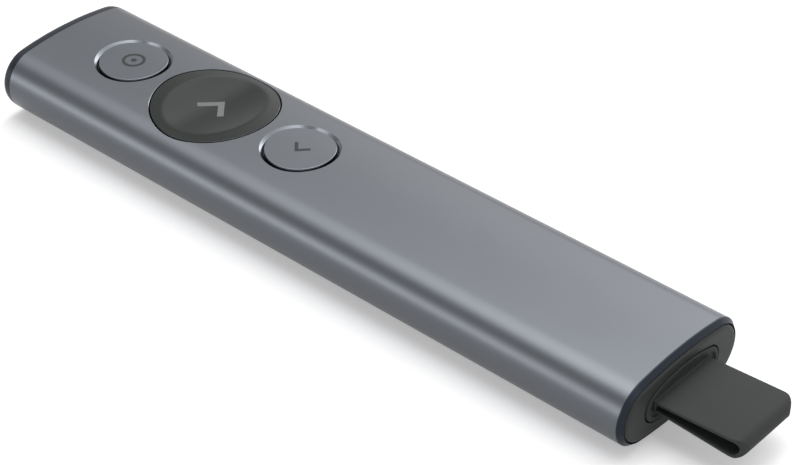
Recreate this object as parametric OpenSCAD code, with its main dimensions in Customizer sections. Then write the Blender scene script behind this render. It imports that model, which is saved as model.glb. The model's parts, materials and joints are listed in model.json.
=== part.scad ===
// Wireless presentation clicker: an oval aluminium sleeve with three buttons on top, and a USB
// receiver with a folded pull tab stowed in its tail. Millimetres. +Y points to the head, +Z is up.

/* [Body] */
// Length of the sleeve from rim to rim
body_l = 129; // [124:1:142]
// Width of the body
body_w = 28.1; // [27:0.1:32]
// Thickness of the oval that the body is drawn as
body_h = 12.4; // [12:0.1:14]
// Depth of the narrow flat under the body, on which it lies still
foot_flat = 0.1; // [0.05:0.01:0.2]
// Wall of the sleeve
wall = 0.7; // [0.6:0.05:1.2]
// Flat land left on the wall outside the rim bevels
rim_land = 0.2; // [0.1:0.02:0.4]
// Length of the bevel at the tail rim
tail_bevel = 0.75; // [0.3:0.05:1.5]
// Length of the bevel at the head rim
head_bevel = 1.2; // [0.3:0.05:1.5]

/* [Buttons] */
// Distance from the head rim to the centre of the pointer button
pointer_in = 17.5; // [16.5:0.1:21]
// Spacing of the pointer button and the next button
pointer_to_next = 19.1; // [18.9:0.1:22]
// Spacing of the next button and the back button
next_to_back = 18.9; // [18.8:0.1:22]
// Radius of the holes of the pointer and back buttons
small_hole_r = 5.95; // [5:0.05:6.1]
// Width of the chamfer round the two small holes
rim_chamfer = 0.55; // [0.2:0.05:0.7]
// Depth of that chamfer
rim_chamfer_d = 0.4; // [0.2:0.05:0.5]
// Radius of the hole of the next button
next_hole_r = 10.7; // [9.5:0.05:10.8]
// Gap between a button cap and its hole
button_gap = 0.2; // [0.15:0.05:0.3]
// Travel of each button
travel = 0.3; // [0.2:0.05:0.4]
// Thickness of the small button caps
small_cap_t = 1.1; // [0.9:0.05:1.2]
// Thickness of the next button cap
next_cap_t = 1.7; // [1.5:0.05:1.8]
// Depth of the finger scoop in the next button
scoop_d = 0.9; // [0.5:0.05:1]
// Radius of the finger scoop along the body
scoop_r = 36; // [30:1:60]
// Radius of the finger scoop across the body
scoop_across_r = 190; // [100:5:300]
// Radius of the stem that presses the switch
stem_r = 1.5; // [1:0.1:1.8]
// Radius of the guide pins beside the stem
guide_r = 0.8; // [0.5:0.05:1]
// Distance of the guide pins from a small button's centre
small_guide_at = 4; // [3.2:0.1:4.6]
// Distance of the guide pins from the next button's centre
next_guide_at = 7; // [4:0.1:8.5]
// Width of the lip that keeps a button under the sleeve
lip_w = 0.75; // [0.4:0.05:0.8]
// Thickness of that lip
lip_t = 0.8; // [0.5:0.05:0.9]
// Width of the two lugs that keep the next button under the sleeve
lug_w = 10; // [6:0.5:12]

/* [Caps] */
// Depth of the two end caps
cap_l = 4; // [3:0.1:6]
// Thickness of the end caps' plates
cap_plate = 1.4; // [1:0.1:2]
// How far the tail cap's face stands out of the rim
cap_proud = 0.25; // [0.1:0.05:0.4]
// Wall of the end caps behind their plates
cap_wall = 1; // [0.7:0.05:1.2]
// Width of the dark gap between a rim and its cap
rim_gap = 0.2; // [0.1:0.02:0.4]
// Clearance of the caps in the bore
cap_fit = 0.08; // [0.05:0.01:0.15]

/* [Inner frame] */
// Clearance of the inner frame in the bore
frame_gap = 0.15; // [0.1:0.01:0.25]
// Wall of the inner frame
frame_wall = 0.8; // [0.6:0.05:1]
// Thickness of the deck that guides the buttons
deck_t = 1; // [0.7:0.05:1.2]
// Length of deck beyond the outer edge of the small buttons' lips
deck_end = 1.4; // [0.6:0.1:2]
// Width of the rails under the circuit board
rail_w = 1.2; // [0.8:0.1:2]

/* [Electronics] */
// Thickness of the circuit board
board_t = 0.8; // [0.6:0.05:1]
// Clearance of the circuit board in the frame
board_gap = 0.25; // [0.15:0.05:0.4]
// Side of the tact switches
switch_w = 4.6; // [4:0.1:5]
// Height of the tact switches
switch_h = 1.9; // [1.5:0.1:2.2]
// Radius of the switch plungers
plunger_r = 1; // [0.7:0.05:1.3]
// Height of the plungers above the switches at rest
plunger_rise = 0.8; // [0.5:0.05:1]
// Depth of the plungers inside the switches at rest
plunger_in = 0.5; // [0.3:0.05:0.7]
// Space between the battery and the deck under the buttons
battery_to_deck = 1.8; // [1.5:0.1:8]
// Width of the battery
battery_w = 17; // [12:0.5:18]
// Thickness of the battery
battery_h = 4; // [3:0.1:4.5]
// Radius of the coin motor
motor_r = 3.6; // [3:0.1:3.8]
// Thickness of the coin motor
motor_h = 2.6; // [2:0.1:3]
// Width of the charging socket
port_w = 8.9; // [8.9:0.1:9.2]
// Height of the charging socket
port_h = 3.2; // [3:0.05:3.3]
// Length of the charging socket
port_l = 7.4; // [6.5:0.1:8]

/* [Receiver] */
// Width of the receiver
receiver_w = 17.18; // [16.5:0.02:18]
// Thickness of the receiver
receiver_h = 7.1; // [6.8:0.05:7.2]
// Gap between the receiver and its dock
dock_gap = 0.25; // [0.15:0.02:0.35]
// Wall of the dock
dock_wall = 0.9; // [0.7:0.05:1]
// Length of the receiver's housing inside the body
housing_l = 12.3; // [11:0.1:14]
// Wall of the receiver's housing
housing_wall = 0.85; // [0.6:0.05:0.9]
// Width of the USB plug
plug_w = 12; // [11.8:0.1:12.2]
// Height of the USB plug
plug_h = 4.5; // [4.4:0.05:4.6]
// Length of the USB plug beyond the housing
plug_l = 12; // [11:0.1:13]
// Sheet thickness of the USB plug
plug_sheet = 0.3; // [0.2:0.05:0.4]
// Space between the plug's end and the floor of the dock
dock_room = 0.9; // [0.4:0.1:2]
// How far the receiver slides out to come clear
pull_out = 27; // [26:0.5:40]

/* [Pull tab] */
// How far the pull tab stands out of the tail rim
tab_l = 15; // [12:0.5:20]
// Width of the pull tab
tab_w = 13.4; // [10:0.1:14]
// Height of the loop at its tip
tab_tip_h = 3.3; // [3:0.1:5]
// Height of the tab where it leaves its flange
tab_root_h = 1.7; // [1.6:0.1:2.8]
// Radius of the loop's slot at its tip
slot_r = 1.15; // [0.6:0.05:1.2]
// Height of the slot at its root
slot_root_h = 0.9; // [0.3:0.05:1]
// Wall of the loop beyond the slot's tip
loop_wall = 0.9; // [0.7:0.1:2.5]
// Corner radius of the tab's tip seen from above
tab_corner_r = 1.4; // [1:0.1:5]
// Radius of the fillet at the tab's root
root_fillet = 0.3; // [0.1:0.05:1]
// How far the flange stands proud of the tail cap
flange_proud = 0.15; // [0.15:0.05:0.6]
// Depth of the flange inside the tail cap
flange_in = 0.9; // [0.6:0.05:1.2]

/* [Hidden] */
cut = 1;
skin = 0.05;
fine_fn = 96;
wide_fn = 240;
wide_from = 15;
rim_steps = 48;
unit_steps = 10000;
edge = 0.15;

// Right triangles whose slope is that of the lines on which an oval's wide arcs meet its end arcs
body_slope = [108, 725, 733];
receiver_slope = [7, 24, 25];
body_shape = [body_w, body_h, body_slope];
receiver_shape = [receiver_w, receiver_h, receiver_slope];

mid_z = body_h / 2 - foot_flat;
top_z = mid_z + body_h / 2;
tail_y = (tab_l - body_l) / 2;
head_y = tail_y + body_l;
rim_in = wall - rim_land;
frame_in = wall + frame_gap;
hollow_in = frame_in + frame_wall;

// Stations along the body, as distances from the tail rim
pointer_t = body_l - pointer_in;
next_t = pointer_t - pointer_to_next;
back_t = next_t - next_to_back;
dock_floor = housing_l + plug_l + dock_room;
frame_t0 = dock_floor + dock_wall;
frame_t1 = body_l - cap_l;
board_t0 = frame_t0 + frame_wall + board_gap;
board_t1 = frame_t1 - frame_wall - board_gap;

// Heights of what lies under the buttons
lip_r = small_hole_r + lip_w;
lip_gap = 0.15;
deck_gap = 0.2;
slide_gap = 0.12;
lip_top = mid_z + half_height(body_shape, wall, lip_r) - lip_gap;
lip_bottom = min(lip_top, top_z - next_cap_t) - lip_t;
deck_top = lip_bottom - travel - deck_gap;
deck_bottom = deck_top - deck_t;
deck_t0 = back_t - lip_r - deck_end;
deck_t1 = pointer_t + lip_r + deck_end;
deck_rib = deck_end - deck_gap * 2;
board_top = mid_z - port_h / 2;
board_bottom = board_top - board_t;
board_w = 2 * (half_width(body_shape, hollow_in, mid_z - board_bottom) - board_gap);
rail_x = board_w / 2 - board_gap - rail_w;
switch_top = board_top + switch_h;
plunger_top = switch_top + plunger_rise;
plunger_bottom = switch_top - plunger_in;
button_ts = [pointer_t, next_t, back_t];

// Inner pieces that stand on the board
switch_foot = [0.7, 0.6, 0.15];
shield_size = [12, 10, 1.5];
shield_sheet = 0.2;
motion_size = [3, 3, 0.9];
antenna_size = [2, 5, 1];
chip_sizes = [[2.5, 4, 0.8], [2.5, 3, 0.7], [2.2, 2, 0.8], [3.2, 2.5, 0.7]];
chip_spots = [[-8.2, 6], [8.2, 5], [8.2, 12], [-7, 26]];
tape_t = 0.3;
tape_margin = 2;
battery_after_port = 3;
battery_chamfer = 1;
lead_r = 0.4;
lead_bend = 1.2;
lead_x = 3;
lead_run = 1;
motor_x = -4.6;
antenna_x = 6.5;
motor_rim = 0.4;
screw_r = 0.7;
screw_head_r = 1.3;
screw_head_h = 0.6;
screw_l = 2;
screw_slack = 0.1;
boss_r = 1.6;
screw_ends = 4;
screw_in = 1.25;
motor_t = board_t1 - motor_r - board_gap;
screw_ts = [board_t0 + screw_ends, deck_t0 + boss_r, motor_t - motor_r - boss_r];
port_sheet = 0.3;
tongue_size = [6.2, 0.7];
tongue_wall = 1.2;
port_back = 1;

// Receiver's inner sizes
shell_in = 4.5;
plug_gap = 0.05;
plug_tongue_h = 1.9;
plug_end_gap = 0.4;
contact_size = [1.1, 7.5, 0.1];
contact_xs = [-3.5, -1, 1, 3.5];
key_size = 2;
key_x = 2.6;
key_t = 5.2;
receiver_board = [12.4, 0.8];
receiver_chip = [5, 4, 0.9];
spring_t = 0.25;
spring_w = 4;
spring_l = 11;
spring_room = 0.25;
spring_bow_r = 4;
spring_touch = 0.05;
spring_at = 11.5;

flange_out = cap_proud + flange_proud;
tab_tip_r = tab_tip_h / 2;
tab_tip_at = tab_l - tab_tip_r;
slot_at = tab_l - loop_wall - slot_r;
slot_from = flange_out + root_fillet;
drop_angle = 3;
scoop_sweep = 16;

aluminium = [0.45, 0.46, 0.49];
dark_plastic = [0.2, 0.21, 0.2];
rubber = [0.28, 0.29, 0.28];
frame_grey = [0.5, 0.5, 0.48];
board_green = [0.1, 0.35, 0.2];
metal = [0.75, 0.75, 0.76];
chip_black = [0.1, 0.1, 0.1];
foil = [0.65, 0.67, 0.7];
gold = [0.8, 0.65, 0.3];

// A four-arc oval is [width, height, slope]. These give its end arcs' distance from the middle and
// radius, and the radius of the wide arcs that are tangent to them. They are whole multiples of a
// fine step, so that the arcs meet exactly.
function oval_unit(shape) =
    round((shape[0] - shape[1]) / 2 / (shape[2][0] + shape[2][1] - shape[2][2]) * unit_steps) / unit_steps;
function end_x(shape) = shape[2][0] * oval_unit(shape);
function end_r(shape) = shape[1] / 2 - (shape[2][2] - shape[2][1]) * oval_unit(shape);
function crown_r(shape) = shape[1] / 2 + shape[2][1] * oval_unit(shape);

// Half the oval's width at height z from its middle, on its end arcs, drawn in by inset
function half_width(shape, inset, z) = end_x(shape) + sqrt(pow(end_r(shape) - inset, 2) - z * z);

// Half the oval's height at x from its middle, on its wide arcs, drawn in by inset
function half_height(shape, inset, x) =
    sqrt(pow(crown_r(shape) - inset, 2) - x * x) - crown_r(shape) + shape[1] / 2;

// Number of sides of a circle of radius r
function sides(r) = r > wide_from ? wide_fn : fine_fn;

// Four-arc oval that stands len tall, drawn in by low_in at its foot and by high_in at its top. Its
// wide arcs end on the lines through the arcs' centres, where they meet the round ends.
module oval(shape, len, low_in, high_in) {
    big = crown_r(shape);
    small = end_r(shape);
    side_x = end_x(shape);
    wing = [2 * side_x, big - shape[1] / 2];
    for (low = [0, 1])
        mirror([0, low, 0])
            intersection() {
                translate([0, -wing[1], 0])
                    cylinder(h = len, r1 = big - low_in, r2 = big - high_in, $fn = sides(big));
                linear_extrude(len)
                    polygon([[-side_x, 0], [0, -small / 2], [side_x, 0], wing, [-wing[0], wing[1]]]);
            }
    for (x = [-side_x, side_x])
        translate([x, 0, 0])
            cylinder(h = len, r1 = small - low_in, r2 = small - high_in, $fn = sides(small));
}

// The oval laid along the body from station t0 to station t1
module lying_oval(shape, t0, t1, tail_in, head_in) {
    translate([0, tail_y + t0, mid_z])
        rotate([-90, 0, 0])
            oval(shape, t1 - t0, tail_in, head_in);
}

module body_oval(t0, t1, tail_in, head_in) {
    lying_oval(body_shape, t0, t1, tail_in, head_in);
}

module receiver_oval(t0, t1, tail_in, head_in) {
    lying_oval(receiver_shape, t0, t1, tail_in, head_in);
}

// A block centred on x, from station t0 to t1 and from height z0 to z1
module block(x, w, t0, t1, z0, z1) {
    translate([x - w / 2, tail_y + t0, z0])
        cube([w, t1 - t0, z1 - z0]);
}

// An upright round post at station t
module post(x, t, r, z0, z1) {
    translate([x, tail_y + t, z0])
        cylinder(h = z1 - z0, r = r, $fn = fine_fn);
}

// Ring whose sloping face cuts a chamfer of even width round a hole in the crowned top. The slope
// runs past the hole's wall and past the crown.
module rim_cutter(t, r) {
    slope = rim_chamfer_d / rim_chamfer;
    function crown_z(a) = mid_z + half_height(body_shape, 0, (r + rim_chamfer) * cos(a));
    function ring_point(out, a, rise) = [(r + rim_chamfer + out) * cos(a),
        tail_y + t + (r + rim_chamfer + out) * sin(a), crown_z(a) + rise];
    angles = [for (i = [0:rim_steps - 1]) 360 * i / rim_steps];
    corners = [for (a = angles) each [
        ring_point(-cut, a, -cut * slope), ring_point(cut, a, cut * slope), ring_point(-cut, a, cut * slope)]];
    faces = [for (i = [0:rim_steps - 1]) for (k = [0:2])
        let (j = (i + 1) % rim_steps, m = (k + 1) % 3) each [
            [3 * i + k, 3 * i + m, 3 * j + m], [3 * i + k, 3 * j + m, 3 * j + k]]];
    polyhedron(points = corners, faces = faces);
}

module sleeve() {
    color(aluminium)
        difference() {
            union() {
                body_oval(0, tail_bevel, rim_in, 0);
                body_oval(tail_bevel, body_l - head_bevel, 0, 0);
                body_oval(body_l - head_bevel, body_l, 0, rim_in);
            }
            body_oval(-cut, body_l + cut, wall, wall);
            for (t = [pointer_t, back_t]) {
                post(0, t, small_hole_r, mid_z, body_h + cut);
                rim_cutter(t, small_hole_r);
            }
            post(0, next_t, next_hole_r, mid_z, body_h + cut);
            block(0, body_w, -cut, body_l + cut, -cut, 0);
        }
}

// Outer form of an end cap whose face stands proud of the rim: a bevelled edge, a lip inside the
// dark gap, then the plug in the bore
module cap_form(t_face, proud, inward) {
    lip_in = wall + rim_gap;
    plug_in = wall + cap_fit;
    translate([0, inward > 0 ? 0 : 2 * (tail_y + t_face), 0])
        mirror([0, inward > 0 ? 0 : 1, 0]) {
            body_oval(t_face - proud, t_face + edge, lip_in + proud + edge, lip_in);
            body_oval(t_face + edge, t_face + cap_plate, lip_in, lip_in);
            body_oval(t_face + cap_plate, t_face + cap_l, plug_in, plug_in);
        }
}

module tail_cap() {
    ring_in = wall + cap_fit + cap_wall;
    color(dark_plastic)
        difference() {
            cap_form(0, cap_proud, 1);
            receiver_oval(-cut, cap_l + cut, -dock_gap, -dock_gap);
            difference() {
                body_oval(cap_plate, cap_l + cut, ring_in, ring_in);
                receiver_oval(0, cap_l + 2 * cut, -dock_gap - dock_wall, -dock_gap - dock_wall);
            }
        }
}

module head_cap() {
    ring_in = wall + cap_fit + cap_wall;
    color(dark_plastic)
        difference() {
            cap_form(body_l, 0, -1);
            body_oval(body_l - cap_l - cut, body_l - cap_plate, ring_in, ring_in);
        }
}

// Height of the flat that the leaf spring lies against, under the dock
spring_top = mid_z - receiver_h / 2 - dock_gap - dock_wall + spring_t + spring_room / 2;

module dock() {
    color(frame_grey)
        difference() {
            receiver_oval(cap_l, frame_t0, -dock_gap - dock_wall, -dock_gap - dock_wall);
            receiver_oval(cap_l - cut, dock_floor, -dock_gap, -dock_gap);
            port_form(dock_floor - cut, frame_t0 + cut, board_gap);
            block(0, spring_w + spring_room, spring_at - spring_l / 2 - spring_room,
                spring_at + spring_l / 2 + spring_room, 0, spring_top);
            block(0, spring_w - 2 * spring_t, spring_at - spring_bow_r, spring_at + spring_bow_r, 0, mid_z);
        }
}

module dock_spring() {
    bow_z = mid_z - receiver_h / 2 - spring_touch - spring_bow_r;
    leaf_z = spring_top - spring_t;
    bow_w = spring_w - 4 * spring_t;
    color(metal)
        difference() {
            union() {
                block(0, spring_w, spring_at - spring_l / 2, spring_at + spring_l / 2, leaf_z, spring_top);
                intersection() {
                    block(0, bow_w, spring_at - spring_bow_r, spring_at + spring_bow_r, leaf_z, mid_z);
                    translate([-spring_w, tail_y + spring_at, bow_z])
                        rotate([0, 90, 0])
                            cylinder(h = 2 * spring_w, r = spring_bow_r, $fn = fine_fn);
                }
            }
            translate([-spring_w, tail_y + spring_at, bow_z])
                rotate([0, 90, 0])
                    cylinder(h = 2 * spring_w, r = spring_bow_r - spring_t, $fn = fine_fn);
        }
}

// Stations and sides of the board screws
module at_screws() {
    for (x = [-1, 1])
        for (t = screw_ts)
            translate([x * (rail_x - screw_in), tail_y + t, 0])
                children();
}

module lower_frame() {
    color(frame_grey)
        difference() {
            union() {
                difference() {
                    body_oval(frame_t0, frame_t1, frame_in, frame_in);
                    body_oval(frame_t0 + frame_wall, frame_t1 - frame_wall, hollow_in, hollow_in);
                }
                intersection() {
                    body_oval(frame_t0, frame_t1, frame_in, frame_in);
                    union() {
                        for (x = [-1, 1])
                            block(x * (rail_x + rail_w / 2), rail_w, frame_t0, frame_t1, 0, board_bottom);
                        at_screws()
                            cylinder(h = board_bottom, r = boss_r, $fn = fine_fn);
                    }
                }
            }
            block(0, body_w, frame_t0 - cut, frame_t1 + cut, mid_z, body_h);
            port_form(frame_t0 - cut, frame_t0 + frame_wall + cut, board_gap);
            at_screws()
                translate([0, 0, board_top - screw_l])
                    cylinder(h = screw_l, r = screw_r + screw_slack / 2, $fn = fine_fn);
        }
}

module button_frame() {
    color(frame_grey)
        difference() {
            body_oval(deck_t0, deck_t1, frame_in, frame_in);
            block(0, body_w, deck_t0 - cut, deck_t1 + cut, 0, mid_z);
            intersection() {
                body_oval(deck_t0 - cut, deck_t1 + cut, hollow_in, hollow_in);
                block(0, body_w, deck_t0 - cut, deck_t1 + cut, 0, deck_bottom);
            }
            block(0, body_w, deck_t0 + deck_rib, deck_t1 - deck_rib, deck_top, body_h);
            for (t = button_ts)
                post(0, t, stem_r + slide_gap, mid_z, body_h);
            for (side = [-1, 1]) {
                for (t = [pointer_t, back_t])
                    post(0, t + side * small_guide_at, guide_r + slide_gap, mid_z, body_h);
                post(0, next_t + side * next_guide_at, guide_r + slide_gap, mid_z, body_h);
            }
        }
}

module circuit_board() {
    color(board_green)
        difference() {
            block(0, board_w, board_t0, board_t1, board_bottom, board_top);
            at_screws()
                cylinder(h = body_h, r = screw_r + screw_slack, $fn = fine_fn);
        }
}

module board_screws() {
    color(metal)
        at_screws() {
            translate([0, 0, board_top])
                cylinder(h = screw_head_h, r = screw_head_r, $fn = fine_fn);
            translate([0, 0, board_top - screw_l + screw_slack])
                cylinder(h = screw_l - screw_slack, r = screw_r, $fn = fine_fn);
        }
}

module tact_switch(t) {
    color(chip_black)
        difference() {
            union() {
                block(0, switch_w, t - switch_w / 2, t + switch_w / 2, board_top, switch_top);
                for (x = [-1, 1])
                    for (y = [-1, 1])
                        block(x * (switch_w + switch_foot[0]) / 2, switch_foot[0],
                            t + y * switch_w / 3 - switch_foot[1] / 2, t + y * switch_w / 3 + switch_foot[1] / 2,
                            board_top, board_top + switch_foot[2]);
            }
            post(0, t, plunger_r + slide_gap, plunger_bottom - travel - slide_gap, switch_top + cut);
        }
}

module pointer_switch() {
    tact_switch(pointer_t);
}

module next_switch() {
    tact_switch(next_t);
}

module back_switch() {
    tact_switch(back_t);
}

module radio_shield() {
    mid_t = (next_t + back_t) / 2;
    half_l = shield_size[1] / 2;
    color(foil)
        difference() {
            block(0, shield_size[0], mid_t - half_l, mid_t + half_l, board_top, board_top + shield_size[2]);
            block(0, shield_size[0] - 2 * shield_sheet, mid_t - half_l + shield_sheet,
                mid_t + half_l - shield_sheet, 0, board_top + shield_size[2] - shield_sheet);
        }
}

// A chip on the board with its corner nearest the tail at [x, t]
module chip(x, t, size) {
    block(x, size[0], t, t + size[1], board_top, board_top + size[2]);
}

module motion_chip() {
    color(chip_black)
        chip(0, (pointer_t + next_t - motion_size[1]) / 2, motion_size);
}

module small_chips() {
    color(chip_black)
        for (i = [0:len(chip_sizes) - 1])
            chip(chip_spots[i][0], back_t + chip_spots[i][1], chip_sizes[i]);
}

module antenna() {
    color(foil)
        chip(antenna_x, board_t1 - antenna_size[1] - board_gap, antenna_size);
}

battery_t0 = dock_floor + port_l + battery_after_port;
battery_l = deck_t0 - battery_to_deck - battery_t0;
battery_z = board_top + tape_t;

module battery() {
    half = battery_w / 2;
    color(foil)
        translate([0, tail_y + battery_t0, battery_z])
            rotate([90, 0, 0])
                mirror([0, 0, 1])
                    linear_extrude(battery_l)
                        polygon([[battery_chamfer - half, 0], [half - battery_chamfer, 0],
                            [half, battery_chamfer], [half, battery_h - battery_chamfer],
                            [half - battery_chamfer, battery_h], [battery_chamfer - half, battery_h],
                            [-half, battery_h - battery_chamfer], [-half, battery_chamfer]]);
}

module battery_tape() {
    color(chip_black)
        block(0, battery_w - 2 * tape_margin, battery_t0 + tape_margin, battery_t0 + battery_l - tape_margin,
            board_top, battery_z);
}

// Two leads that run from the battery's end and bend down to the board
module battery_leads() {
    end_t = battery_t0 + battery_l;
    lead_z = battery_z + battery_h / 2;
    color([0.7, 0.1, 0.1])
        for (x = [-lead_x, lead_x])
            translate([x, tail_y + end_t, 0]) {
                translate([0, 0, lead_z])
                    rotate([-90, 0, 0])
                        cylinder(h = lead_run, r = lead_r, $fn = fine_fn / 4);
                translate([0, lead_run, lead_z - lead_bend])
                    rotate([90, 0, 90])
                        rotate_extrude(angle = 90, $fn = fine_fn)
                            translate([lead_bend, 0])
                                circle(r = lead_r, $fn = fine_fn / 4);
                translate([0, lead_run + lead_bend, board_top])
                    cylinder(h = lead_z - lead_bend - board_top, r = lead_r, $fn = fine_fn / 4);
            }
}

module vibration_motor() {
    color(metal) {
        post(motor_x, motor_t, motor_r, board_top, board_top + motor_h - motor_rim);
        post(motor_x, motor_t, motor_r - motor_rim, board_top + motor_h - motor_rim, board_top + motor_h);
    }
}

// Round-ended form of the charging socket, grown by gap
module port_form(t0, t1, gap) {
    round_x = (port_w - port_h) / 2;
    translate([0, tail_y + t0, mid_z])
        rotate([-90, 0, 0])
            linear_extrude(t1 - t0) {
                translate([-round_x, -port_h / 2 - gap])
                    square([2 * round_x, port_h + 2 * gap]);
                for (x = [-round_x, round_x])
                    translate([x, 0])
                        circle(r = port_h / 2 + gap, $fn = fine_fn);
            }
}

module charge_port_shell() {
    t0 = dock_floor + board_gap;
    color(metal)
        difference() {
            port_form(t0, t0 + port_l, 0);
            port_form(t0 - cut, t0 + port_l - port_back, -port_sheet);
        }
}

module charge_port_tongue() {
    t1 = dock_floor + board_gap + port_l - port_back;
    color(chip_black)
        block(0, tongue_size[0], dock_floor + board_gap + port_sheet, t1,
            mid_z - tongue_size[1] / 2, mid_z + tongue_size[1] / 2);
}

// A button cap that follows the sleeve's crown, from its underside up
module cap_disc(t, r, thickness) {
    intersection() {
        body_oval(t - body_w, t + body_w, skin, skin);
        post(0, t, r, top_z - thickness, body_h);
    }
}

module small_cap(t) {
    color(aluminium)
        cap_disc(t, small_hole_r - button_gap, small_cap_t);
}

// A carrier's stem and its two guide pins
module stem_and_guides(t, guide_at) {
    post(0, t, stem_r, plunger_top, lip_bottom + lip_t / 2);
    for (side = [-1, 1])
        post(0, t + side * guide_at, guide_r, deck_bottom - travel, lip_bottom + lip_t / 2);
}

module small_holder(t) {
    color(dark_plastic) {
        post(0, t, small_hole_r - button_gap, lip_bottom, top_z - small_cap_t);
        post(0, t, lip_r, lip_bottom, lip_top);
        stem_and_guides(t, small_guide_at);
    }
}

module plunger(t) {
    color(frame_grey)
        post(0, t, plunger_r, plunger_bottom, plunger_top);
}

module pointer_cap() {
    small_cap(pointer_t);
}

module pointer_holder() {
    small_holder(pointer_t);
}

module pointer_plunger() {
    plunger(pointer_t);
}

// Shallow dish that curves less across the crowned body than along it, so that its edge is round
module scoop() {
    translate([0, tail_y + next_t, top_z - scoop_d + scoop_across_r])
        rotate([90, 0, 0])
            rotate([0, 0, -90 - scoop_sweep / 2])
                rotate_extrude(angle = scoop_sweep, $fn = wide_fn)
                    intersection() {
                        translate([scoop_across_r - scoop_r, 0])
                            circle(r = scoop_r, $fn = wide_fn);
                        translate([scoop_across_r - body_h, -body_w / 2])
                            square([2 * body_h, body_w]);
                    }
}

module next_cap() {
    color(dark_plastic)
        difference() {
            cap_disc(next_t, next_hole_r - button_gap, next_cap_t);
            scoop();
        }
}

module next_holder() {
    color(dark_plastic) {
        post(0, next_t, next_hole_r - button_gap, lip_bottom, top_z - next_cap_t);
        intersection() {
            post(0, next_t, next_hole_r + lip_w, lip_bottom, top_z - next_cap_t);
            block(0, lug_w, next_t - body_w, next_t + body_w, 0, body_h);
        }
        stem_and_guides(next_t, next_guide_at);
    }
}

module next_plunger() {
    plunger(next_t);
}

module back_cap() {
    small_cap(back_t);
}

module back_holder() {
    small_holder(back_t);
}

module back_plunger() {
    plunger(back_t);
}

module plug_block(t0, t1, inset) {
    block(0, plug_w - 2 * inset, t0, t1, mid_z - plug_h / 2 + inset, mid_z + plug_h / 2 - inset);
}

module receiver_housing() {
    color(dark_plastic)
        difference() {
            receiver_oval(flange_in, housing_l, 0, 0);
            receiver_oval(flange_in - cut, housing_l - housing_wall, housing_wall, housing_wall);
            plug_block(housing_l - shell_in - plug_gap, housing_l + cut, -plug_gap);
        }
}

module plug_shell() {
    color(metal)
        difference() {
            plug_block(housing_l - shell_in, housing_l + plug_l, 0);
            plug_block(housing_l - shell_in - cut, housing_l + plug_l + cut, plug_sheet);
            for (x = [-key_x, key_x])
                block(x, key_size, housing_l + key_t, housing_l + key_t + key_size, 0, body_h);
        }
}

tongue_z = mid_z - plug_h / 2 + plug_sheet;

module plug_tongue() {
    color(chip_black)
        block(0, plug_w - 2 * plug_sheet - 2 * plug_gap, housing_l - shell_in, housing_l + plug_l - plug_end_gap,
            tongue_z, tongue_z + plug_tongue_h);
}

module plug_contacts() {
    end_t = housing_l + plug_l - plug_end_gap - contact_size[0];
    z = tongue_z + plug_tongue_h;
    color(gold)
        for (x = contact_xs)
            block(x, contact_size[0], end_t - contact_size[1], end_t, z, z + contact_size[2]);
}

receiver_board_z = tongue_z + (plug_tongue_h - receiver_board[1]) / 2;

module receiver_board() {
    color(board_green)
        block(0, receiver_board[0], flange_in + board_gap, housing_l - shell_in,
            receiver_board_z, receiver_board_z + receiver_board[1]);
}

module receiver_chip() {
    z = receiver_board_z + receiver_board[1];
    color(chip_black)
        block(0, receiver_chip[0], flange_in + 2 * board_gap, flange_in + 2 * board_gap + receiver_chip[1],
            z, z + receiver_chip[2]);
}

// Flat drop shape in the u, z plane: a mouth of height mouth_h at u0 widens to a round end of
// radius r at u1. The straight sides meet the round end at a slight angle.
module drop(u0, mouth_h, u1, r) {
    side_z = r * cos(drop_angle);
    polygon([[u0, -mouth_h / 2], [u1, -side_z], [u1, side_z], [u0, mouth_h / 2]]);
    translate([u1, 0])
        circle(r = r, $fn = fine_fn);
}

// Side view of the folded strap, with u counted out of the tail rim
module strap_side() {
    difference() {
        union() {
            drop(0, tab_root_h, tab_tip_at, tab_tip_r);
            difference() {
                translate([0, -tab_root_h / 2 - root_fillet])
                    square([flange_out + root_fillet, tab_root_h + 2 * root_fillet]);
                for (side = [-1, 1])
                    translate([flange_out + root_fillet, side * (tab_root_h / 2 + root_fillet)])
                        circle(r = root_fillet, $fn = fine_fn);
            }
        }
        drop(slot_from, slot_root_h, slot_at, slot_r);
    }
}

// Plan of the strap, with its rounded corners at the tip
module strap_plan() {
    corner_x = tab_w / 2 - tab_corner_r;
    corner_u = tab_l - tab_corner_r;
    difference() {
        translate([-tab_w / 2, 0])
            square([tab_w, tab_l]);
        for (side = [-1, 1])
            difference() {
                translate([side * (corner_x + tab_corner_r) - tab_corner_r, corner_u])
                    square([2 * tab_corner_r, tab_corner_r + cut]);
                translate([side * corner_x, corner_u])
                    circle(r = tab_corner_r, $fn = fine_fn);
            }
    }
}

module pull_tab() {
    color(rubber) {
        receiver_oval(-flange_out, edge - flange_out, edge, 0);
        receiver_oval(edge - flange_out, flange_in, 0, 0);
        difference() {
            intersection() {
                translate([-tab_w / 2, tail_y, mid_z])
                    rotate([90, 0, 90])
                        linear_extrude(tab_w)
                            mirror([1, 0])
                                strap_side();
                translate([0, tail_y, 0])
                    linear_extrude(body_h)
                        mirror([0, 1])
                            strap_plan();
            }
            block(0, body_w, -flange_out, cap_l, 0, body_h);
        }
    }
}

sleeve();
tail_cap();
head_cap();
dock();
dock_spring();
lower_frame();
button_frame();
circuit_board();
board_screws();
pointer_switch();
next_switch();
back_switch();
radio_shield();
motion_chip();
small_chips();
antenna();
battery();
battery_tape();
battery_leads();
vibration_motor();
charge_port_shell();
charge_port_tongue();
pointer_cap();
pointer_holder();
pointer_plunger();
next_cap();
next_holder();
next_plunger();
back_cap();
back_holder();
back_plunger();
receiver_housing();
pull_tab();
plug_shell();
plug_tongue();
plug_contacts();
receiver_board();
receiver_chip();
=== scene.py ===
import json
import math

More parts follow.
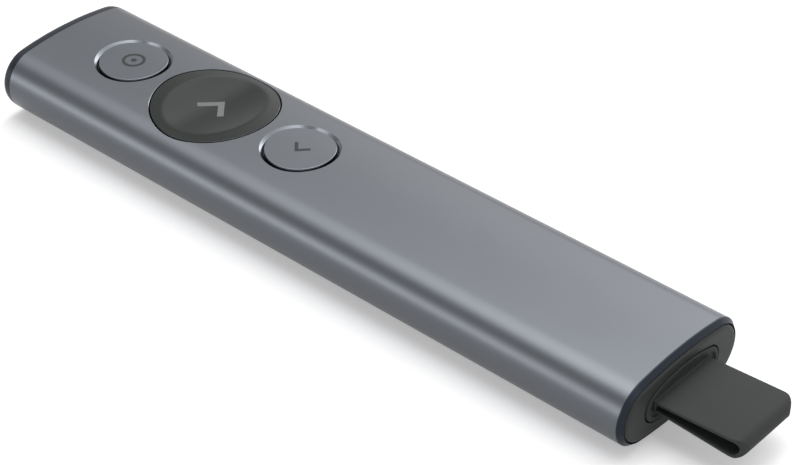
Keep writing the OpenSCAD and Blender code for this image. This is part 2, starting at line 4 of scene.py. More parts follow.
import bpy
import numpy as np
from mathutils import Matrix, Vector


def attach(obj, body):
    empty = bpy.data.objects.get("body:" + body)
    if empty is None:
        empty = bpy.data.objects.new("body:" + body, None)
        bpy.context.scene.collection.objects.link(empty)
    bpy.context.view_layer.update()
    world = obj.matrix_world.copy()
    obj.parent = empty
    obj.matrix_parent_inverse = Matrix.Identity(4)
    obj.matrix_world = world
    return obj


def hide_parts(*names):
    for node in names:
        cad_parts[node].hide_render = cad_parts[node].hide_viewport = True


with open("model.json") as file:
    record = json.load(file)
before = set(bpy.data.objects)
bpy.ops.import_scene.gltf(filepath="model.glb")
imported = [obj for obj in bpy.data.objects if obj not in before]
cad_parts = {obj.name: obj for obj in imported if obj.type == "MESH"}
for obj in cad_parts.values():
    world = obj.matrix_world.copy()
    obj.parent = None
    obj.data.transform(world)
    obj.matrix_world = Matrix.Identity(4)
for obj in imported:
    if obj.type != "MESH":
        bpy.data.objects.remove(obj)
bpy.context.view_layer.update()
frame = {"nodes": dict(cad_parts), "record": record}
MM = 0.001

# ---------------------------------------------------------------- sizes, in mm, as in the solids
BODY_L, BODY_W, OVAL_H, FOOT_FLAT, WALL = 129.0, 28.1, 12.4, 0.1, 0.7
TAIL_Y = -57.0
MID_Z = OVAL_H / 2 - FOOT_FLAT
TOP_Z = MID_Z + OVAL_H / 2
BODY = (BODY_W, OVAL_H, (108, 725, 733))
RECEIVER = (17.18, 7.1, (7, 24, 25))
DOCK_GAP, CAP_PROUD, CAP_PLATE, CAP_L = 0.25, 0.25, 1.4, 4.0
CAP_RIM_GAP, CAP_INNER_GAP = 0.2, 0.08
SMALL_HOLE, NEXT_HOLE, BUTTON_GAP = 5.95, 10.7, 0.2
CHAMFER, CHAMFER_D, NEXT_CHAMFER = 0.55, 0.4, 0.08
POINTER_T, NEXT_T, BACK_T = 111.5, 92.4, 73.5
SCOOP_D, SCOOP_R, SCOOP_ACROSS = 0.9, 36.0, 190.0
SKIN = 0.05
TAB_L, TAB_W, TAB_TIP_H, TAB_ROOT_H, TAB_CORNER = 15.0, 13.4, 3.3, 1.7, 2.4
SLOT_R, SLOT_ROOT_H, LOOP_WALL, ROOT_FILLET, FLANGE_PROUD = 1.15, 0.9, 0.9, 0.3, 0.15
SMALL_CAP_T, NEXT_CAP_T = 1.1, 1.7
CAP_EDGE = 0.12

# the sleeve's mesh: half the width of the strip with the holes, where the rims' bands end and begin,
# and where the patches round the holes meet, from the tail rim
STRIP_HALF_W = 11.4
TAIL_BAND, HEAD_BAND = 0.9, 127.2
BACK_ZONE, NEXT_ZONE, POINTER_ZONE, HEAD_ZONE = 66.1, 80.8, 104.1, 118.9
# the two rims as (distance from the end, inset) points, and the head's rounding
TAIL_RIM = [(0.0, WALL), (0.0, 0.655), (0.008, 0.64), (0.025, 0.62), (0.05, 0.597), (0.68, 0.035), (0.7, 0.02),
            (0.72, 0.009), (0.75, 0.002), (0.9, 0.0)]
HEAD_LAND, HEAD_ROUND_T, HEAD_ROUND_IN = 0.56, 1.8, 0.5


# ---------------------------------------------------------------- the four-arc oval
def oval_parts(shape):
    """Distance of the end arcs' centres from the middle, their radius, the wide arcs' radius."""
    w, h, (p, q, s) = shape
    unit = (w - h) / 2 / (p + q - s)
    return p * unit, h / 2 - (s - q) * unit, h / 2 + q * unit


def oval_point(shape, angle, inset=0.0):
    """x and z from the middle where the normal stands at angle from +Z towards +X, and the normal."""
    side_x, small, big = oval_parts(shape)
    join = math.asin(side_x / (big - small))
    a = (angle + math.pi) % (2 * math.pi) - math.pi
    n = (math.sin(a), math.cos(a))
    if abs(a) <= join:
        cx, cz, r = 0.0, shape[1] / 2 - big, big
    elif abs(a) >= math.pi - join:
        cx, cz, r = 0.0, big - shape[1] / 2, big
    else:
        cx, cz, r = math.copysign(side_x, a), 0.0, small
    return cx + n[0] * (r - inset), cz + n[1] * (r - inset), n[0], n[1]


def oval_angle(shape, x):
    """Angle of the normal at x on the upper half."""
    side_x, small, big = oval_parts(shape)
    join = math.asin(side_x / (big - small))
    if abs(x) <= big * math.sin(join):
        return math.asin(x / big)
    return math.copysign(math.asin((abs(x) - side_x) / small), x)


def crown(x, inset=0.0):
    """Height and normal of the body's upper face at x, drawn in by inset."""
    side_x, small, big = oval_parts(BODY)
    join = math.asin(side_x / (big - small))
    if abs(x) <= (big - inset) * math.sin(join):
        a = math.asin(x / (big - inset))
    else:
        a = math.copysign(math.asin(min(1.0, (abs(x) - side_x) / (small - inset))), x)
    px, pz, nx, nz = oval_point(BODY, a, inset)
    return MID_Z + pz, nx, nz


def skin_point(angle, inset):
    """The body's section with the narrow flat under it."""
    x, z, nx, nz = oval_point(BODY, angle, inset)
    if MID_Z + z < 0:
        return x, -MID_Z, 0.0, -1.0
    return x, z, nx, nz


def even_angles(shape, crown_steps, end_steps):
    """Normal angles round a whole oval, closely spaced on the tight end arcs."""
    side_x, small, big = oval_parts(shape)
    join = math.asin(side_x / (big - small))
    quarter = list(np.linspace(0, join, crown_steps, endpoint=False))
    quarter += list(np.linspace(join, math.pi / 2, end_steps, endpoint=False))
    half = quarter + [math.pi - a for a in [math.pi / 2] + quarter[:0:-1]]
    return half + [math.pi] + [2 * math.pi - a for a in half[:0:-1]]


# ---------------------------------------------------------------- meshes
class Skin:
    """A mesh whose face corners have given normals. Points at one place are one vertex."""

    def __init__(self):
        self.verts, self.index, self.faces, self.normals = [], {}, [], []

    def vert(self, p):
        key = tuple(int(round(c * 1e5)) for c in p)
        if key not in self.index:
            self.index[key] = len(self.verts)
            self.verts.append(tuple(c * MM for c in p))
        return self.index[key]

    def face(self, points, normals):
        """Adds a face, wound so that it looks the way its normals do."""
        corners = []
        for p, n in zip(points, normals):
            i = self.vert(p)
            if i not in [c[0] for c in corners]:
                corners.append((i, n))
        if len(corners) < 3:
            return
        ring = np.array([self.verts[c[0]] for c in corners])
        area = sum(np.cross(ring[k] - ring[0], ring[k + 1] - ring[0]) for k in range(1, len(ring) - 1))
        if np.dot(area, sum(np.asarray(c[1]) for c in corners)) < 0:
            corners.reverse()
        self.faces.append([c[0] for c in corners])
        self.normals += [tuple(c[1]) for c in corners]

    def grid(self, points, normals, wrap=False):
        """Quads over rows of points. With wrap, each row is a closed loop."""
        for i in range(len(points) - 1):
            count = len(points[i])
            for j in range(count if wrap else count - 1):
                k = (j + 1) % count
                quad = ((i, j), (i, k), (i + 1, k), (i + 1, j))
                self.face([points[a][b] for a, b in quad], [normals[a][b] for a, b in quad])

    def object(self, name):
        mesh = bpy.data.meshes.new(name)
        mesh.from_pydata(self.verts, [], self.faces)
        mesh.polygons.foreach_set("use_smooth", [True] * len(mesh.polygons))
        mesh.normals_split_custom_set(self.normals)
        mesh.update()
        obj = bpy.data.objects.new(name, mesh)
        bpy.context.scene.collection.objects.link(obj)
        return obj


def unit(v):
    v = np.asarray(v, float)
    return v / max(np.linalg.norm(v), 1e-12)


def loft(skin, loops, sharp, flip=False, closed=False):
    """Skins a list of closed loops. sharp holds the indices of loops that are hard edges."""
    loops = [np.asarray(l, float) for l in loops]
    count = len(loops)
    spans = [(k, (k + 1) % count) for k in range(count if closed else count - 1)]
    span_normals = []
    for a, b in spans:
        around = (np.roll(loops[a], -1, 0) - np.roll(loops[a], 1, 0)
                  + np.roll(loops[b], -1, 0) - np.roll(loops[b], 1, 0))
        across = loops[b] - loops[a]
        n = np.cross(around, across)
        length = np.linalg.norm(n, axis=1, keepdims=True)
        n = n / np.maximum(length, 1e-12)
        span_normals.append(-n if flip else n)
    for s, (a, b) in enumerate(spans):
        here = span_normals[s]
        before = span_normals[s - 1] if (closed or s > 0) else here
        after = span_normals[(s + 1) % len(spans)] if (closed or s < len(spans) - 1) else here
        na = here if a in sharp else np.array([unit(v) for v in here + before])
        nb = here if b in sharp else np.array([unit(v) for v in here + after])
        skin.grid([loops[a], loops[b]], [na, nb], wrap=True)


def oval_loop(shape, angles, y, inset):
    """The oval at y, drawn in by inset, as a closed loop of points."""
    out = []
    for a in angles:
        x, z, _, _ = oval_point(shape, a, inset)
        out.append((x, y, MID_Z + z))
    return out


# ---------------------------------------------------------------- sleeve
def hole_patch(skin, cut_edges, centre_y, rows, columns, hole_r, rim_r, outer):
    """The top strip round a hole: a grid from the rim circle out to the patch's rectangle."""
    inset = 0.0 if outer else WALL
    border = [(x, rows[0]) for x in columns] + [(columns[-1], y) for y in rows[1:]]
    border += [(x, rows[-1]) for x in columns[-2::-1]] + [(columns[0], y) for y in rows[-2:0:-1]]
    rings = 12
    points, normals = [], []
    for k in range(rings + 1):
        share = (k / rings) ** 1.25
        ring_p, ring_n = [], []
        for bx, by in border:
            a = math.atan2(by - centre_y, bx)
            r = rim_r if outer else hole_r
            x = r * math.cos(a) * (1 - share) + bx * share
            y = (centre_y + r * math.sin(a)) * (1 - share) + by * share
            z, nx, nz = crown(x, inset)
            ring_p.append((x, y, z))
            ring_n.append((nx, 0, nz) if outer else (-nx, 0, -nz))
        points.append(ring_p)
        normals.append(ring_n)
    skin.grid(points, normals, wrap=True)
    if not outer:
        return
    angles = [math.atan2(by - centre_y, bx) for bx, by in border]
    low, low_n, top, wall_top, wall_bottom, wall_n = [], [], [], [], [], []
    for a in angles:
        c, s = math.cos(a), math.sin(a)
        edge_z = crown(rim_r * c)[0]
        drop = CHAMFER_D if rim_r - hole_r > NEXT_CHAMFER * 2 else rim_r - hole_r
        top.append((rim_r * c, centre_y + rim_r * s, edge_z))
        low.append((hole_r * c, centre_y + hole_r * s, edge_z - drop))
        slope = unit((-drop * c, -drop * s, rim_r - hole_r))
        low_n.append(tuple(slope))
        wall_top.append(low[-1])
        wall_bottom.append((hole_r * c, centre_y + hole_r * s, crown(hole_r * c, WALL)[0]))
        wall_n.append((-c, -s, 0))
    cut_edges.grid([low, top], [low_n, low_n], wrap=True)
    skin.grid([wall_bottom, wall_top], [wall_n, wall_n], wrap=True)


def sleeve_skin():
    """The brushed skin, and apart from it the bright chamfers of the holes and the rims, which get a far darker metal
    than the skin as painted shade.
    """
    skin, cut_edges, rims = Skin(), Skin(), Skin()
    reach = oval_angle(BODY, STRIP_HALF_W)
    top_angles = [oval_angle(BODY, x) for x in np.linspace(-STRIP_HALF_W, STRIP_HALF_W, 61)]
    wide_arc = math.asin(BODY[2][0] / BODY[2][2])
    side = list(np.linspace(reach, math.pi / 2, 26))[1:]
    side += list(np.linspace(math.pi / 2, math.pi - wide_arc, 34))[1:]
    foot = math.pi - math.acos(1 - FOOT_FLAT / oval_parts(BODY)[2])
    side += list(np.linspace(math.pi - wide_arc, foot, 5))[1:] + [foot + 1e-4]
    side += list(np.linspace(foot, math.pi, 5))[1:-1]
    rest = [reach] + side + [math.pi] + [2 * math.pi - a for a in side[::-1]] + [2 * math.pi - reach]
    small_rim, next_rim = SMALL_HOLE + CHAMFER, NEXT_HOLE + NEXT_CHAMFER
    zones = [(TAIL_BAND, BACK_ZONE, None, 0, 0),
             (BACK_ZONE, NEXT_ZONE, BACK_T, SMALL_HOLE, small_rim),
             (NEXT_ZONE, POINTER_ZONE, NEXT_T, NEXT_HOLE, next_rim),
             (POINTER_ZONE, HEAD_ZONE, POINTER_T, SMALL_HOLE, small_rim),
             (HEAD_ZONE, HEAD_BAND, None, 0, 0)]
    for inset in (0.0, WALL):
        outer = inset == 0.0
        sign = 1 if outer else -1
        for t0, t1, centre, hole_r, rim_r in zones:
            if not outer:
                t0 = 0.0 if t0 == TAIL_BAND else t0
                t1 = BODY_L if t1 == HEAD_BAND else t1
            steps = 2 if centre is None else max(2, round((t1 - t0) / 1.0))
            rows = [TAIL_Y + t for t in np.linspace(t0, t1, steps + 1)]
            for angles, is_top in ((top_angles, True), (rest, False)):
                if is_top and centre is not None:
                    columns = [oval_point(BODY, a, inset)[0] for a in angles]
                    hole_patch(skin, cut_edges, TAIL_Y + centre, rows, columns, hole_r, rim_r, outer)
                    continue
                points, normals = [], []
                for y in rows:
                    row = [skin_point(a, inset) for a in angles]
                    points.append([(x, y, MID_Z + z) for x, z, _, _ in row])
                    normals.append([(sign * nx, 0, sign * nz) for _, _, nx, nz in row])
                skin.grid(points, normals)
    # the two rims: land, bevel and their small roundings
    angles = top_angles + rest[1:-1]
    head_rim = [(0.0, WALL), (0.0, HEAD_LAND)]
    head_rim += [(HEAD_ROUND_T - HEAD_ROUND_T * math.sin(a), HEAD_ROUND_IN - HEAD_ROUND_IN * math.cos(a))
                 for a in np.linspace(math.pi / 2, 0, 14)]
    for end, profile in enumerate((TAIL_RIM, head_rim)):
        y_of = (lambda t: TAIL_Y + t) if end == 0 else (lambda t: TAIL_Y + BODY_L - t)
        directions = []
        for k, (t, inset) in enumerate(profile):
            t0, i0 = profile[max(k - 1, 0)]
            t1, i1 = profile[min(k + 1, len(profile) - 1)]
            directions.append(unit((-(i0 - i1), (t1 - t0))))
        directions[0] = directions[1] = np.array((-1.0, 0.0))
        directions[-1] = np.array((0.0, 1.0))
        points, normals = [], []
        for (t, inset), (dt, dn) in zip(profile, directions):
            row = [skin_point(a, inset) for a in angles]
            points.append([(x, y_of(t), MID_Z + z) for x, z, _, _ in row])
            along = dt if end == 0 else -dt
            normals.append([(nx * dn, along, nz * dn) for _, _, nx, nz in row])
        rims.grid(points, normals, wrap=True)
    return skin.object("sleeve_skin"), cut_edges.object("hole_edges"), rims.object("rim_edges_painted_shade")


# ---------------------------------------------------------------- tail plate
def tail_plate():
    """The flat tail cap, with a rounded edge and the oval opening of the dock."""
    skin = Skin()
    angles = even_angles(BODY, 16, 40)
    lip = WALL + CAP_RIM_GAP
    edge_t, edge_in = 0.17, 0.62
    loops, sharp = [], set()

    def add(shape, t, inset, hard=False):
        if hard:
            sharp.add(len(loops))
        loops.append(oval_loop(shape, angles, TAIL_Y + t, inset))

    add(BODY, -CAP_PROUD, lip + edge_in, True)
    for k in range(1, 8):
        turn = math.pi / 2 * k / 8
        add(BODY, edge_t - (CAP_PROUD + edge_t) * math.cos(turn), lip + edge_in * (1 - math.sin(turn)))
    add(BODY, edge_t, lip)
    add(BODY, CAP_PLATE, lip, True)
    add(BODY, CAP_PLATE, WALL + CAP_INNER_GAP, True)
    add(BODY, CAP_L, WALL + CAP_INNER_GAP, True)
    add(RECEIVER, CAP_L, -DOCK_GAP, True)
    add(RECEIVER, 0.12 - CAP_PROUD, -DOCK_GAP)
    add(RECEIVER, 0.03 - CAP_PROUD, -DOCK_GAP - 0.03)
    add(RECEIVER, -CAP_PROUD, -DOCK_GAP - 0.1, True)
    loft(skin, loops, sharp, flip=True, closed=True)
    return skin.object("tail_plate")


# ---------------------------------------------------------------- buttons
def disc(name, t, r, bottom_z, height, rings, edge, around=144):
    """A button's cap: height(x, y) gives its upper face, edge the radius of its rim."""
    skin = Skin()
    yc = TAIL_Y + t
    turn = [2 * math.pi * k / around for k in range(around)]
    radii = [0.0] + [(r - edge) * (k / rings) for k in range(1, rings + 1)]
    step = 1e-3

    def top(x, y, sink=0.0):
        z = height(x, y)
        slope_x = (height(x + step, y) - height(x - step, y)) / (2 * step)
        slope_y = (height(x, y + step) - height(x, y - step)) / (2 * step)
        return (x, yc + y, z - sink), unit((-slope_x, -slope_y, 1.0))

    points, normals = [], []
    for rad in radii:
        row = [top(rad * math.cos(a), rad * math.sin(a)) for a in turn]
        points.append([p for p, _ in row])
        normals.append([n for _, n in row])
    for k in range(1, 6):
        a_edge = math.pi / 2 * k / 5
        rad = r - edge + edge * math.sin(a_edge)
        row_p, row_n = [], []
        for a in turn:
            p, n = top(rad * math.cos(a), rad * math.sin(a), edge * (1 - math.cos(a_edge)))
            side = np.array((math.cos(a), math.sin(a), 0.0))
            row_p.append(p)
            row_n.append(unit(n * math.cos(a_edge) + side * math.sin(a_edge)))
        points.append(row_p)
        normals.append(row_n)
    skin.grid(points, normals, wrap=True)
    side_n = [(math.cos(a), math.sin(a), 0.0) for a in turn]
    foot = [(r * math.cos(a), yc + r * math.sin(a), bottom_z) for a in turn]
    skin.grid([points[-1], foot], [side_n, side_n], wrap=True)
    down = [(0.0, 0.0, -1.0)] * around
    middle = [(0.0, yc, bottom_z)] * around
    skin.grid([foot, middle], [down, down], wrap=True)
    return skin.object(name)


def small_height(x, y):
    return crown(x, SKIN)[0]


def next_height(x, y):
    """The crown with the finger scoop pressed in, its edge softened."""
    top = crown(x, SKIN)[0]
    swing = SCOOP_ACROSS - SCOOP_R + math.sqrt(SCOOP_R ** 2 - y * y)
    bowl = TOP_Z - SCOOP_D + SCOOP_ACROSS - math.sqrt(swing ** 2 - x * x)
    soft = 0.035
    gap = (bowl - top) / soft
    if gap > 30:
        return top
    if gap < -30:
        return bowl
    return top - soft * math.log1p(math.exp(-gap)) if gap > 0 else bowl - soft * math.log1p(math.exp(gap))


# ---------------------------------------------------------------- printed marks on the buttons
def mark(name, t, outline_fn, height, lift=0.015, sink=0.05):
    """A thin print that follows the button's face. outline_fn gives strips of point pairs, and whether closed."""
    skin = Skin()
    yc = TAIL_Y + t
    up, down = (0, 0, 1), (0, 0, -1)
    for strip, closed in outline_fn():
        count = len(strip)
        for k in range(count if closed else count - 1):
            a, b = strip[k], strip[(k + 1) % count]
            quad = [a[0], a[1], b[1], b[0]]
            high = [(x, yc + y, height(x, y) + lift) for x, y in quad]
            low = [(x, yc + y, height(x, y) - sink) for x, y in quad]
            skin.face(high, [up] * 4)
            skin.face(low[::-1], [down] * 4)
            middle = np.mean(high, axis=0)
            sides = [(0, 3), (2, 1)]
            if not closed and k == 0:
                sides.append((1, 0))
            if not closed and k == count - 2:
                sides.append((3, 2))
            for p, q in sides:
                edge = np.array(high[q]) - np.array(high[p])
                n = unit(np.cross(edge, (0, 0, -1)))
                if np.dot(n, np.array(high[p]) - middle) < 0:
                    n = -n
                skin.face([high[p], high[q], low[q], low[p]], [tuple(n)] * 4)
    return skin.object(name)


def pointer_mark():
    """A ring with a dot in its middle."""
    inner_r, outer_rx, outer_ry, dot_r = 1.45, 2.0, 1.97, 0.5
    turn = [2 * math.pi * k / 72 for k in range(72)]
    ring = [((inner_r * math.cos(a), inner_r * math.sin(a)), (outer_rx * math.cos(a), outer_ry * math.sin(a)))
            for a in turn]
    dot = [((0.0, 0.0), (dot_r * math.cos(a), dot_r * math.sin(a))) for a in turn]
    return [(ring, True), (dot, True)]


def chevron(apex_x, end_x, half_span, width):
    """One strip of a chevron whose arms run from its apex to end_x."""
    def outline():
        apex = np.array((apex_x, 0.0))
        reach = end_x - apex_x
        slant = math.hypot(reach, half_span) / half_span
        tip_in = apex + np.array((math.copysign(width, reach) * slant, 0.0))
        strip = []
        for k in range(-10, 11):
            end = np.array((end_x, math.copysign(half_span, k)))
            along = unit(end - apex)
            across = np.array((along[1], -along[0])) * width
            if np.dot(across, tip_in - apex) < 0:
                across = -across
            outer_p = apex + (end - apex) * abs(k) / 10
            inner_p = tip_in + (end + across - tip_in) * abs(k) / 10
            pair = (tuple(outer_p), tuple(inner_p))
            strip.append(pair if reach > 0 else pair[::-1])
        return [(strip, False)]
    return outline


# ---------------------------------------------------------------- soft tab
def drop_loop(root_u, root_h, tip_u, tip_r, flare=0.0, flare_u=0.0):
    """Side view of the strap or its slot as a closed loop of (u, z), always of the same count."""
    lean = math.radians(3)
    start = [(root_u, root_h / 2 + flare)]
    for k in range(7):
        a = math.pi / 2 * k / 6
        start.append((flare_u + flare * (1 - math.cos(a)) if flare else root_u,
                      root_h / 2 + flare * (1 - math.sin(a))))
    foot_u = start[-1][0]
    side_z = tip_r * math.cos(lean)
    share = [k / 24 for k in range(1, 25)]
    upper = start + [(foot_u + (tip_u - foot_u) * k, root_h / 2 + (side_z - root_h / 2) * k) for k in share]
    arc = [(tip_u + tip_r * math.cos(a), tip_r * math.sin(a))
           for a in np.linspace(math.pi / 2 - lean, 0, 15)[:-1]]
    half = upper + arc
    return half + [(tip_u + tip_r, 0.0)] + [(u, -z) for u, z in half[::-1]]


def strap_half_width(u, trim=0.0):
    """Half the strap's width at u, with its round corners at the tip."""
    corner_u = TAB_L - TAB_CORNER
    inside = min(max(u - corner_u, 0.0), TAB_CORNER)
    return TAB_W / 2 - TAB_CORNER + math.sqrt(TAB_CORNER ** 2 - inside ** 2) - trim


def soft_tab():
    """The rubber pull: a folded strap with soft edges, standing in a flange with a shallow recess."""
    skin = Skin()
    soft, slot_soft = 0.22, 0.12
    face_u = CAP_PROUD + FLANGE_PROUD
    tip_r = TAB_TIP_H / 2
    loops = []

    def ring(shrink, trim, slot):
        if slot:
            outline = drop_loop(face_u + 0.1 - shrink, SLOT_ROOT_H + 2 * shrink, TAB_L - LOOP_WALL - SLOT_R,
                                SLOT_R + shrink)
        else:
            outline = drop_loop(face_u - 0.5, TAB_ROOT_H - 2 * shrink, TAB_L - tip_r, tip_r - shrink, ROOT_FILLET,
                                face_u - 0.3)
        return [(strap_half_width(u, trim), TAIL_Y - u, MID_Z + z) for u, z in outline]

    turns = [math.pi / 2 * k / 5 for k in range(6)]
    for a in turns:
        loops.append(ring(soft * (1 - math.cos(a)), soft * (1 - math.sin(a)), False))
    for a in turns[::-1]:
        loops.append(ring(slot_soft * (1 - math.cos(a)), slot_soft * (1 - math.sin(a)), True))
    mirrored = [[(-x, y, z) for x, y, z in loop] for loop in loops]
    loft(skin, loops + mirrored[::-1], set(), flip=True, closed=True)

    # the flange, with a rim and a shallow recess round the strap
    angles = even_angles(RECEIVER, 20, 30)
    rim = [(0.9, 0.0), (0.15 - face_u, 0.0)]
    rim += [(0.15 - face_u - 0.15 * math.sin(a), 0.15 * (1 - math.cos(a))) for a in turns[1:]]
    rim += [(-face_u, 0.5), (0.03 - face_u, 0.62), (0.12 - face_u, 0.72), (0.30 - face_u, 0.80),
            (0.36 - face_u, 0.9), (0.38 - face_u, 1.6), (0.38 - face_u, 2.4)]
    flange = [oval_loop(RECEIVER, angles, TAIL_Y + t, inset) for t, inset in rim]
    flange.append([(x * 0.02, TAIL_Y + 0.38 - face_u, MID_Z) for x, _, _ in flange[-1]])
    loft(skin, flange, {0, len(flange) - 1}, flip=False)
    return skin.object("tab_soft")


# ---------------------------------------------------------------- materials
def new_material(name):
    mat = bpy.data.materials.new(name)
    mat.use_nodes = True
    tree = mat.node_tree
    tree.nodes.clear()
    out = tree.nodes.new("ShaderNodeOutputMaterial")
    shader = tree.nodes.new("ShaderNodeBsdfPrincipled")
    tree.links.new(shader.outputs["BSDF"], out.inputs["Surface"])
    coord = tree.nodes.new("ShaderNodeTexCoord")
    return mat, tree, shader, coord


def noise(tree, coord, scale, detail=3.0, stretch=None):
    vector = coord.outputs["Object"]
    if stretch:
        mapping = tree.nodes.new("ShaderNodeMapping")
        mapping.inputs["Scale"].default_value = stretch
        tree.links.new(vector, mapping.inputs["Vector"])
        vector = mapping.outputs["Vector"]
    node = tree.nodes.new("ShaderNodeTexNoise")
    node.inputs["Scale"].default_value = scale
    node.inputs["Detail"].default_value = detail
    tree.links.new(vector, node.inputs["Vector"])
    return node.outputs["Fac"]


def spread(tree, value, low, high):
    node = tree.nodes.new("ShaderNodeMapRange")
    node.inputs["To Min"].default_value = low
    node.inputs["To Max"].default_value = high
    tree.links.new(value, node.inputs["Value"])
    return node.outputs["Result"]


def tint(tree, value, dark, light):
    node = tree.nodes.new("ShaderNodeMix")
    node.data_type = "RGBA"
    node.inputs["A"].default_value = (*dark, 1)
    node.inputs["B"].default_value = (*light, 1)
    tree.links.new(value, node.inputs["Factor"])
    return node.outputs["Result"]


def bump(tree, value, strength, distance):
    node = tree.nodes.new("ShaderNodeBump")
    node.inputs["Strength"].default_value = strength
    node.inputs["Distance"].default_value = distance
    tree.links.new(value, node.inputs["Height"])
    return node.outputs["Normal"]


def finish_material(name, dark, light, metallic=0.0, rough=(0.4, 0.5), grain=9000.0, depth=2e-6,
                    strength=0.25, specular=0.5, stretch=None, cloud=220.0):
    """A procedural finish: slow colour variation, fine grain in roughness and bump."""
    mat, tree, shader, coord = new_material(name)
    slow = noise(tree, coord, cloud, 4.0)
    fine = noise(tree, coord, grain, 2.0, stretch)
    tree.links.new(tint(tree, slow, dark, light), shader.inputs["Base Color"])
    tree.links.new(spread(tree, fine, *rough), shader.inputs["Roughness"])
    tree.links.new(bump(tree, fine, strength, depth), shader.inputs["Normal"])
    shader.inputs["Metallic"].default_value = metallic
    shader.inputs["Specular IOR Level"].default_value = specular
    return mat


def scaled(colour, factor):
    return tuple(c * factor for c in colour)


ANODISED = (0.108, 0.115, 0.126)
mats = {
    "anodised": finish_material("anodised_slate", scaled(ANODISED, 0.98), scaled(ANODISED, 1.02), metallic=1.0,
                                rough=(0.30, 0.37), grain=7000.0, depth=1.5e-6, strength=0.12),
    "cut_metal": finish_material("cut_metal", scaled(ANODISED, 1.06), scaled(ANODISED, 1.12), metallic=1.0,
                                 rough=(0.17, 0.22), grain=7000.0, depth=1e-6, strength=0.06),
    # the rims are the sleeve's anodised metal, coloured far darker here as painted shade on the bevels
    "rim_metal_painted_shade": finish_material("rim_metal_painted_shade", (0.021, 0.025, 0.032), (0.024, 0.028, 0.036),
                                 metallic=1.0, rough=(0.40, 0.46), grain=7000.0, depth=1e-6, strength=0.08),
    "cap_plastic": finish_material("cap_plastic", (0.036, 0.041, 0.039), (0.041, 0.046, 0.044),
                                   rough=(0.45, 0.55), grain=6000.0, strength=0.3, specular=0.15),
    "button_plastic": finish_material("button_plastic", (0.011, 0.014, 0.012), (0.014, 0.017, 0.015),
                                      rough=(0.13, 0.17), grain=8000.0, strength=0.05, specular=0.22),
    "tab_rubber": finish_material("tab_rubber", (0.041, 0.044, 0.043), (0.046, 0.049, 0.048),
                                  rough=(0.62, 0.72), grain=5200.0, strength=0.35, specular=0.14),
    "frame_plastic": finish_material("frame_plastic", (0.02, 0.02, 0.021), (0.026, 0.026, 0.027),
                                     rough=(0.5, 0.6), grain=4000.0),
    "board": finish_material("solder_mask", (0.02, 0.10, 0.05), (0.03, 0.14, 0.07), rough=(0.3, 0.4),
                             cloud=900.0),
    "steel": finish_material("plain_steel", (0.50, 0.50, 0.50), (0.62, 0.62, 0.61), metallic=1.0,
                             rough=(0.22, 0.34), grain=3000.0, stretch=(1.0, 8.0, 8.0)),
    "chip": finish_material("chip_black", (0.018, 0.018, 0.019), (0.03, 0.03, 0.031), rough=(0.4, 0.55)),
    "foil": finish_material("foil", (0.50, 0.51, 0.53), (0.60, 0.61, 0.63), metallic=1.0, rough=(0.3, 0.45)),
    "lead": finish_material("wire_red", (0.40, 0.03, 0.03), (0.48, 0.04, 0.04), rough=(0.3, 0.4)),
    "gold": finish_material("plated_gold", (0.72, 0.50, 0.18), (0.80, 0.58, 0.22), metallic=1.0,
                            rough=(0.2, 0.3)),
    "print_dark": finish_material("print_dark", (0.010, 0.011, 0.013), (0.014, 0.015, 0.017),
                                  rough=(0.5, 0.6), grain=6000.0, specular=0.3),
    "print_light": finish_material("print_light", (0.140, 0.143, 0.145), (0.155, 0.158, 0.160),
                                   rough=(0.5, 0.6), grain=6000.0, specular=0.3),
}


def dress(obj, material):
    """Gives the object one finish."""
    obj.data.materials.clear()
    obj.data.materials.append(mats[material])


# ---------------------------------------------------------------- the pieces
def place(obj, body, material, slot, *nodes):
    """Dresses a piece, hangs it on what it rides on and hides the nodes it stands for."""
    dress(obj, material)
    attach(obj, body)
    if nodes:
        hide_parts(*nodes)
    return obj


skin_piece, hole_piece, shaded_rim_piece = sleeve_skin()
place(skin_piece, "body", "anodised", "anodised", "sleeve")
place(hole_piece, "body", "cut_metal", "anodised")
# the rims get the darker metal: painted shade on the bevels
place(shaded_rim_piece, "body", "rim_metal_painted_shade", "anodised")
place(tail_plate(), "body", "cap_plastic", "cap_plastic", "tail_cap")
place(soft_tab(), "receiver", "tab_rubber", "tab_rubber", "pull_tab")
place(disc("pointer_face", POINTER_T, SMALL_HOLE - BUTTON_GAP, TOP_Z - SMALL_CAP_T, small_height, 14, CAP_EDGE),
      "pointer_button", "anodised", "anodised", "pointer_cap")
place(disc("back_face", BACK_T, SMALL_HOLE - BUTTON_GAP, TOP_Z - SMALL_CAP_T, small_height, 14, CAP_EDGE),
      "back_button", "anodised", "anodised", "back_cap")
place(disc("next_face", NEXT_T, NEXT_HOLE - BUTTON_GAP, TOP_Z - NEXT_CAP_T, next_height, 70, CAP_EDGE, 240),
      "next_button", "button_plastic", "button_plastic", "next_cap")
place(mark("pointer_mark", POINTER_T, pointer_mark, small_height), "pointer_button", "print_dark", "chip")
place(mark("next_mark", NEXT_T, chevron(2.15, -1.15, 3.0, 1.05), next_height),
      "next_button", "print_light", "chip")
place(mark("back_mark", BACK_T, chevron(-1.38, 0.48, 1.72, 0.58), small_height),
      "back_button", "print_dark", "chip")

slot_of = {s["node"]: s["material_slot"] for s in frame["record"]["subparts"]}
for node, obj in frame["nodes"].items():
    dress(obj, slot_of[node])

# ---------------------------------------------------------------- floor
def background_rays(tree):
    """1 for the rays that see the white background: the camera's, and those off a gloss or through glass."""
    path = tree.nodes.new("ShaderNodeLightPath")
    seen = path.outputs["Is Camera Ray"]
    for ray in ("Is Glossy Ray", "Is Transmission Ray"):
        either = tree.nodes.new("ShaderNodeMath")
        either.operation = "MAXIMUM"
        tree.links.new(seen, either.inputs[0])
        tree.links.new(path.outputs[ray], either.inputs[1])
        seen = either.outputs[0]
    return seen


